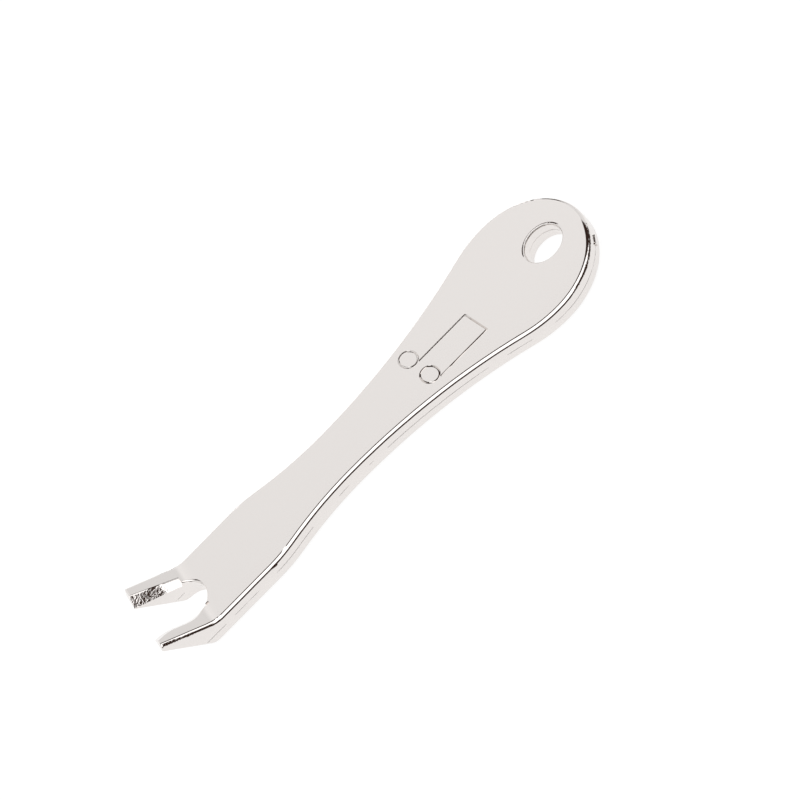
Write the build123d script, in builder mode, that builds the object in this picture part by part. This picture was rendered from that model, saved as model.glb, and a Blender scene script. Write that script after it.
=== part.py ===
from build123d import *
import os
from math import atan2, cos, degrees, radians, sin, sqrt, tan

# Bridge pin puller: one plated zinc casting. It lies on its flat underside, with the fork
# towards -X, where it rises, and the round head with the key ring hole towards +X.
# The origin is at the bottom centre of its bounding box. Sizes are in millimetres.

os.makedirs("parts", exist_ok=True)

# Plate. The two halves of the die meet at half thickness and each has its own draft.
thick = 2.75
top_round = 0.57
under_round = 0.6
draft = 1.0

# Head, key ring hole and the remnant of the casting gate on the head's wall
head_x = 27.1
head_r = 10.3
hole_x = 31.35
hole_r = 2.75
hole_round = 0.3
gate_angle = -29
gate_size = (0.7, 1.5, 0.5)
gate_proud = 0.12

# Blank that the side profile trims, past the tips and above them
blank_end_x = -41.0
blank_height = 8.0

# Plan outline from the head to the fork
waist_x = -5.45
waist_half = 4.5
head_flank_r = 79.5
fork_flank_r = 47.0
fork_shoulder_r = 18.0
fork_half = 6.35

# Fork: two prongs that rise from the bend, with the gap for a bridge pin between them
bend_x = -30.3
bend_angle = 30.5
bend_r = 4.0
tip_top_x = -36.8
tip_thick = 1.3
tip_round = 0.9
ramp_x = -32.55
ramp_r = 1.5
gap_half = 3.1
gap_root_x = -29.0
gap_round = 0.2

# Bevel filed on each prong's inner top edge: its angle, and its width across at distances along
# the prong from the bend. It starts at a step on the +Y prong and runs out in a curve on the other.
bevel_angle = 38
bevel_stepped = ((0.9, 0.95), (9.5, 1.58))
bevel_run_out = ((-0.5, -0.6), (0.5, 0.05), (1.5, 0.8), (2.8, 1.25), (5.5, 1.33), (9.5, 1.45))

# Engraving on the top: two beamed quavers, upright when the head is uppermost. A pointed tool cuts
# it, at its angle and to a half width on the surface, and leaves each stem clear of its note.
tool_angle = 55
groove_half = 0.14
note_centres = ((9.2, 2.5), (10.0, -2.2))
note_radii = (1.15, 1.6)
note_tilt = 20
stem_side = 1.6
stem_reach = (1.0, 9.0)

# Worked out from the sizes above
slope = radians(bend_angle)
parting_z = thick / 2
tip_top_z = thick + (bend_x - tip_top_x) * tan(slope)
tip_under_x = tip_top_x - tip_thick * sin(slope)
tip_under_z = tip_top_z - tip_thick * cos(slope)


def direction(start, end):
    """Direction from one point to another, in degrees from 0 to 360."""
    return degrees(atan2(end[1] - start[1], end[0] - start[0])) % 360


# Tangent arcs touch on the line through their centres. The head's shoulder arc meets the head
# at its widest point, and its radius is the one that also touches the flank.
head_flank_centre = (waist_x, waist_half + head_flank_r)
fork_flank_centre = (waist_x, waist_half + fork_flank_r)
across = head_flank_centre[1] - head_r
along = waist_x - head_x
shoulder_r = (along**2 + across**2 - head_flank_r**2) / (2 * (head_flank_r - across))
shoulder_centre = (head_x, head_r - shoulder_r)
to_flank = direction(shoulder_centre, head_flank_centre)

fork_shoulder_y = fork_half - fork_shoulder_r
centre_gap = fork_flank_r + fork_shoulder_r
fork_shoulder_x = waist_x - sqrt(centre_gap**2 - (fork_flank_centre[1] - fork_shoulder_y) ** 2)
fork_shoulder_centre = (fork_shoulder_x, fork_shoulder_y)
to_shoulder = direction(fork_flank_centre, fork_shoulder_centre)

with BuildSketch(Plane.XY.offset(parting_z)) as outline:
    with BuildLine():
        CenterArc((head_x, 0), head_r, 0, 90)
        CenterArc(shoulder_centre, shoulder_r, 90, to_flank - 90)
        CenterArc(head_flank_centre, head_flank_r, to_flank - 180, 90 - to_flank)
        CenterArc(fork_flank_centre, fork_flank_r, 270, to_shoulder - 270)
        CenterArc(fork_shoulder_centre, fork_shoulder_r, to_shoulder - 180, 270 - to_shoulder)
        Line((fork_shoulder_x, fork_half), (blank_end_x, fork_half))
        Line((blank_end_x, fork_half), (blank_end_x, 0))
        mirror(about=Plane.XZ)
    make_face()

with BuildSketch(Plane.XZ) as side:
    with BuildLine():
        Polyline(
            (head_x + head_r + 1, 0),
            (ramp_x, 0),
            (tip_under_x, tip_under_z),
            (tip_top_x, tip_top_z),
            (bend_x, thick),
            (head_x + head_r + 1, thick),
            close=True,
        )
    make_face()
    fillet(side.vertices().group_by(Axis.X)[-2], bend_r)
    fillet(side.vertices().filter_by_position(Axis.X, ramp_x - 0.01, ramp_x + 0.01), ramp_r)

with BuildSketch() as gap:
    with Locations((gap_root_x - gap_half, 0)):
        Circle(gap_half)
        Rectangle(gap_root_x - gap_half - blank_end_x, 2 * gap_half, align=(Align.MAX, Align.CENTER))

with BuildSketch() as tip_corners:
    with Locations((tip_under_x, fork_half)):
        Rectangle(2 * tip_round, 2 * tip_round)
    with Locations((tip_under_x + tip_round, fork_half - tip_round)):
        Circle(tip_round, mode=Mode.SUBTRACT)
    mirror(about=Plane.XZ)

prong_top = Plane((bend_x, 0, thick), x_dir=(-cos(slope), 0, sin(slope)), z_dir=(sin(slope), 0, cos(slope)))


def bevel_section(distance, width):
    """Triangle over the -Y prong's inner top corner, whose long side is the bevel."""
    corner = prong_top.from_local_coords((distance, gap_half, 0))
    fall = tan(radians(bevel_angle))
    spare = 0.6
    with BuildSketch(Plane(corner, x_dir=prong_top.y_dir, z_dir=prong_top.x_dir)) as section:
        with BuildLine():
            Polyline(
                (-spare, spare),
                (width + spare / fall, spare),
                (-spare, -(width + spare) * fall),
                close=True,
            )
        make_face()
    return section.sketch


with BuildPart() as stepped:
    loft([bevel_section(*step) for step in bevel_stepped], ruled=True)
with BuildPart() as bevels:
    loft([bevel_section(*step) for step in bevel_run_out])
    mirror(stepped.part, about=Plane.XZ)


def engrave(line):
    """Groove cutter: a pointed tool that follows a line on the top face, and drills its ends."""
    path = line.moved(Location((0, 0, thick)))
    fall = tan(radians(tool_angle))
    depth = groove_half * fall
    spare = 0.1
    reach = groove_half + spare / fall
    section = Plane(path @ 0, x_dir=(path % 0).cross(Vector(0, 0, 1)), z_dir=path % 0)
    with BuildPart() as cutter:
        with BuildSketch(section):
            with BuildLine():
                Polyline((0, depth), (reach, -spare), (-reach, -spare), close=True)
            make_face()
        sweep(path=path)
        if (path @ 1 - path @ 0).length > groove_half:
            with Locations(path @ 0 - Vector(0, 0, depth), path @ 1 - Vector(0, 0, depth)):
                Cone(0, reach, depth + spare, align=(Align.CENTER, Align.CENTER, Align.MIN))
    return cutter.part


stems = [[(x + end, y - stem_side) for end in stem_reach] for x, y in note_centres]
beam = [top for foot, top in stems]

with BuildPart() as pin_puller:
    extrude(outline.sketch, amount=blank_height, taper=draft)
    extrude(outline.sketch, amount=-parting_z, taper=draft)
    extrude(side.sketch, amount=head_r + 1, both=True, mode=Mode.INTERSECT)

    # Rounded outer edges, all round the top and the underside but for the square tips
    def rim(up):
        broad = pin_puller.faces().filter_by(lambda face: up * face.normal_at().Z > 0.6)
        edges = ShapeList(edge for face in broad for edge in face.edges())
        return edges.filter_by(Axis.Y, reverse=True)

    fillet(rim(1), top_round)
    fillet(rim(-1), under_round)

    # Gap between the prongs, its rim rounded above and below
    extrude(gap.sketch, amount=blank_height, mode=Mode.SUBTRACT)
    gap_rims = pin_puller.edges(Select.LAST).filter_by(Axis.Z, reverse=True)
    fillet(gap_rims.filter_by_position(Axis.X, tip_top_x, gap_root_x), gap_round)
    add(bevels.part, mode=Mode.SUBTRACT)
    extrude(tip_corners.sketch, amount=blank_height, mode=Mode.SUBTRACT)

    # Key ring hole
    with Locations((hole_x, 0, thick)):
        Hole(hole_r)
    fillet(pin_puller.edges(Select.LAST).filter_by(GeomType.CIRCLE), hole_round)

    # Remnant of the casting gate, on the head's wall at the parting plane
    with Locations((head_x, 0, parting_z)):
        with PolarLocations(head_r + gate_proud, 1, start_angle=gate_angle):
            Box(*gate_size, align=(Align.MAX, Align.CENTER, Align.CENTER))

    for centre in note_centres:
        with BuildLine(mode=Mode.PRIVATE) as note:
            EllipticalCenterArc(centre, *note_radii, arc_size=360, rotation=note_tilt)
        add(engrave(note.line), mode=Mode.SUBTRACT)
    for ends in (*stems, beam):
        with BuildLine(mode=Mode.PRIVATE) as stroke:
            Line(*ends)
        add(engrave(stroke.line), mode=Mode.SUBTRACT)

pin_puller.part.label = "pin_puller"
export_step(pin_puller.part, "parts/pin_puller.step")
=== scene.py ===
from math import cos, pi, radians, sin, tan

import bpy
from mathutils import Matrix, Vector

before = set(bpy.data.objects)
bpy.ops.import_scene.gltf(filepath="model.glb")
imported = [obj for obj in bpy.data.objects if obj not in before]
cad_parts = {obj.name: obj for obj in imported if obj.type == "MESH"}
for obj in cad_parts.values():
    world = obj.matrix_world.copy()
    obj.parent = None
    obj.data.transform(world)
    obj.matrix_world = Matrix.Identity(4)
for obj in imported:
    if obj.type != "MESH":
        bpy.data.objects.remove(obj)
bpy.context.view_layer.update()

# Camera: a long lens that looks down on the plate across its length, rolled in the picture
CAMERA_TARGET = Vector((0.00495, -0.00034, 0.001545))
CAMERA_DISTANCE = 0.338
CAMERA_TURN = radians(6.29)
CAMERA_HEIGHT = radians(42.94)
CAMERA_ROLL = radians(49.66)
CAMERA_LENS = 121.8

# Bright nickel plate over the die-cast surface. Bump heights are in metres.
NICKEL = (0.785, 0.75, 0.728, 1.0)
NICKEL_ROUGHNESS = 0.06
WAVE_SCALE = 260
WAVE_HEIGHT = 0.00012
HAMMER_SCALE = 3000
HAMMER_HEIGHT = 0.00004
PATCH_HEIGHT = 0.0003
PARTING_HEIGHT = 0.000034

# The plate's shape that the bump follows, in metres
PLATE_TOP = 0.00275
PARTING_Z = PLATE_TOP / 2
BEND_X = -0.0303
PRONG_SLOPE = tan(radians(30.5))
GATE = (0.0362, -0.004, 0.0016)

# Where each part of the bump fades in, from none to all of it. The depths are below the top faces,
# and the gate's are distances from it.
SKIN_DEPTHS = (0.00003, 0.00014)
PRONG_X = (-0.0318, -0.0340)
PATCH_X = (-0.0337, -0.0307)
GATE_REACH = (0.0105, 0.004)
GATE_WEIGHT = 0.9
PARTING_BAND = (0.00009, 0.00001)
PARTING_BREAKS = (0.3, 0.6)

# Studio round the plate: brightness by the angle over the plate, from the far horizon (0)
# through overhead (90) to the horizon on the camera's side (180), and a dark wall past the head
DARK = (0.045, 0.026, 0.020)
WHITE = (1.7, 1.7, 1.7)
PALE = (1.02, 1.02, 1.02)
SKY = (
    (0, PALE),
    (45, PALE),
    (46.5, DARK),
    (71, DARK),
    (74, WHITE),
    (137, WHITE),
    (142, DARK),
    (180, DARK),
)
SKY_LENGTHWISE = 0.15
SKY_SHADE = 0.19
SHADE_NEAR = 0.2
WALL_NEAR = 0.43
WALL_TOP = 0.62
WALL_SLANT = 0.35
WALL_END = 0.45
WALL_BLUR = 0.05
FLOOR_GLOW = 0.87
FLOOR_WHITE = 0.2
FLOOR_HALF = 0.6
FLOOR_DROP = 0.0001


def new_material(name):
    material = bpy.data.materials.new(name)
    material.use_nodes = True
    return material, material.node_tree.nodes, material.node_tree.links


def math_node(tree, operation, *values):
    """Math node whose inputs are numbers or other nodes' outputs."""
    node = tree.nodes.new("ShaderNodeMath")
    node.operation = operation
    for socket, value in zip(node.inputs, values):
        if isinstance(value, bpy.types.NodeSocket):
            tree.links.new(value, socket)
        else:
            socket.default_value = value
    return node.outputs[0]


def ramp_between(tree, value, start, end):
    """0 where the value is at start, 1 at end, and a smooth step between."""
    node = tree.nodes.new("ShaderNodeMapRange")
    node.interpolation_type = "SMOOTHSTEP"
    tree.links.new(value, node.inputs["Value"])
    node.inputs["From Min"].default_value = start
    node.inputs["From Max"].default_value = end
    return node.outputs["Result"]


def noise(tree, place, scale, detail):
    node = tree.nodes.new("ShaderNodeTexNoise")
    tree.links.new(place, node.inputs["Vector"])
    node.inputs["Scale"].default_value = scale
    node.inputs["Detail"].default_value = detail
    return node.outputs["Fac"]


def about_zero(tree, value, height):
    """A value from 0 to 1 made into a height that is as much below zero as above it."""
    return math_node(tree, "MULTIPLY_ADD", value, height, -height / 2)


def make_nickel():
    material, nodes, links = new_material("nickel_plate")
    tree = material.node_tree
    shader = nodes["Principled BSDF"]
    shader.inputs["Base Color"].default_value = NICKEL
    shader.inputs["Metallic"].default_value = 1.0
    shader.inputs["Roughness"].default_value = NICKEL_ROUGHNESS

    place = nodes.new("ShaderNodeTexCoord").outputs["Object"]
    axes = nodes.new("ShaderNodeSeparateXYZ")
    links.new(place, axes.inputs[0])
    x, y, z = axes.outputs

    # Below the top faces the skin is less even, most of all on the prongs and by the gate
    prong_top = math_node(tree, "MULTIPLY_ADD", x, -PRONG_SLOPE, PLATE_TOP + BEND_X * PRONG_SLOPE)
    top = math_node(tree, "MAXIMUM", prong_top, PLATE_TOP)
    off_top = ramp_between(tree, math_node(tree, "SUBTRACT", top, z), *SKIN_DEPTHS)
    on_prongs = ramp_between(tree, x, *PRONG_X)
    gate = nodes.new("ShaderNodeVectorMath")
    gate.operation = "DISTANCE"
    links.new(place, gate.inputs[0])
    gate.inputs[1].default_value = GATE
    near_gate = ramp_between(tree, gate.outputs["Value"], *GATE_REACH)
    worked = math_node(tree, "MULTIPLY_ADD", near_gate, GATE_WEIGHT, on_prongs)

    wave = noise(tree, place, WAVE_SCALE, 1.0)
    hammer = noise(tree, place, HAMMER_SCALE, 2.0)
    waves = about_zero(tree, wave, WAVE_HEIGHT)
    dents = math_node(tree, "MULTIPLY", about_zero(tree, hammer, HAMMER_HEIGHT), worked)

    # Near the bend, the sides and the bevel of the +Y prong lean a little towards its tip
    leaning = math_node(tree, "MULTIPLY", ramp_between(tree, x, *PATCH_X), PATCH_HEIGHT)
    leaning = math_node(tree, "MULTIPLY", leaning, math_node(tree, "GREATER_THAN", y, 0.0))
    skin = math_node(tree, "ADD", math_node(tree, "ADD", waves, dents), leaning)
    skin = math_node(tree, "MULTIPLY", skin, off_top)

    # Line that the die left where its halves met, broken up along its length
    off_parting = math_node(tree, "ABSOLUTE", math_node(tree, "SUBTRACT", z, PARTING_Z))
    in_band = ramp_between(tree, off_parting, *PARTING_BAND)
    unbroken = ramp_between(tree, wave, *PARTING_BREAKS)
    parting = math_node(tree, "MULTIPLY", math_node(tree, "MULTIPLY", in_band, PARTING_HEIGHT), unbroken)
    height = math_node(tree, "ADD", skin, parting)
    bump = nodes.new("ShaderNodeBump")
    bump.inputs["Distance"].default_value = 1.0
    links.new(height, bump.inputs["Height"])
    links.new(bump.outputs[0], shader.inputs["Normal"])
    return material


def make_floor():
    half = FLOOR_HALF
    mesh = bpy.data.meshes.new("floor")
    corners = [(-half, -half, 0), (half, -half, 0), (half, half, 0), (-half, half, 0)]
    mesh.from_pydata(corners, [], [(0, 1, 2, 3)])
    floor = bpy.data.objects.new("floor", mesh)
    floor.location.z = -FLOOR_DROP
    bpy.context.scene.collection.objects.link(floor)
    material, nodes, links = new_material("floor_paper")
    shader = nodes["Principled BSDF"]
    shader.inputs["Base Color"].default_value = (FLOOR_WHITE, FLOOR_WHITE, FLOOR_WHITE, 1)
    shader.inputs["Roughness"].default_value = 0.9
    shader.inputs["Specular IOR Level"].default_value = 0.0
    shader.inputs["Emission Color"].default_value = (1, 1, 1, 1)
    shader.inputs["Emission Strength"].default_value = FLOOR_GLOW
    mesh.materials.append(material)


def make_camera():
    data = bpy.data.cameras.new("camera")
    data.lens = CAMERA_LENS
    data.sensor_width = 36
    data.clip_start = 0.01
    camera = bpy.data.objects.new("camera", data)
    bpy.context.scene.collection.objects.link(camera)
    forward = Vector((
        -sin(CAMERA_TURN) * cos(CAMERA_HEIGHT),
        cos(CAMERA_TURN) * cos(CAMERA_HEIGHT),
        -sin(CAMERA_HEIGHT),
    ))
    right = Vector((cos(CAMERA_TURN), sin(CAMERA_TURN), 0))
    up = right.cross(forward)
    level = Matrix((right, up, -forward)).transposed().to_4x4()
    place = Matrix.Translation(CAMERA_TARGET - forward * CAMERA_DISTANCE)
    camera.matrix_world = place @ level @ Matrix.Rotation(-CAMERA_ROLL, 4, "Z")
    bpy.context.scene.camera = camera


def make_world():
    world = bpy.data.worlds.new("studio")
    bpy.context.scene.world = world
    world.use_nodes = True
    tree = world.node_tree
    nodes, links = tree.nodes, tree.links
    axes = nodes.new("ShaderNodeSeparateXYZ")
    links.new(nodes.new("ShaderNodeTexCoord").outputs["Generated"], axes.inputs[0])
    x, y, z = axes.outputs
    turns = math_node(tree, "MULTIPLY_ADD", math_node(tree, "ARCTAN2", z, y), 1 / pi, 0.0)
    ramp = nodes.new("ShaderNodeValToRGB")
    links.new(turns, ramp.inputs[0])
    stops = ramp.color_ramp.elements
    for degrees, level in SKY:
        stop = stops[0] if degrees == 0 else stops[-1] if degrees == 180 else stops.new(degrees / 180)
        stop.color = (*level, 1)
    sky = nodes["Background"]
    links.new(ramp.outputs[0], sky.inputs["Color"])
    shade = math_node(tree, "MULTIPLY_ADD", ramp_between(tree, x, SHADE_NEAR, WALL_NEAR), -SKY_SHADE, 1.0)
    lengthwise = math_node(tree, "MULTIPLY_ADD", x, SKY_LENGTHWISE, 1.0)
    links.new(math_node(tree, "MULTIPLY", shade, lengthwise), sky.inputs["Strength"])
    past_head = ramp_between(tree, x, WALL_NEAR - WALL_BLUR, WALL_NEAR)
    slanted = math_node(tree, "MULTIPLY_ADD", y, WALL_SLANT, z)
    below = ramp_between(tree, slanted, WALL_TOP, WALL_TOP - WALL_BLUR)
    before = ramp_between(tree, y, WALL_END, WALL_END - WALL_BLUR)
    dark_wall = nodes.new("ShaderNodeBackground")
    dark_wall.inputs["Color"].default_value = (*DARK, 1)
    both = nodes.new("ShaderNodeMixShader")
    in_wall = math_node(tree, "MULTIPLY", math_node(tree, "MULTIPLY", past_head, below), before)
    links.new(in_wall, both.inputs[0])
    links.new(sky.outputs[0], both.inputs[1])
    links.new(dark_wall.outputs[0], both.inputs[2])
    links.new(both.outputs[0], nodes["World Output"].inputs["Surface"])


make_camera()
nickel = make_nickel()
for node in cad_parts.values():
    node.data.materials.clear()
    node.data.materials.append(nickel)
make_floor()
make_world()
bpy.context.scene.view_settings.view_transform = "Standard"
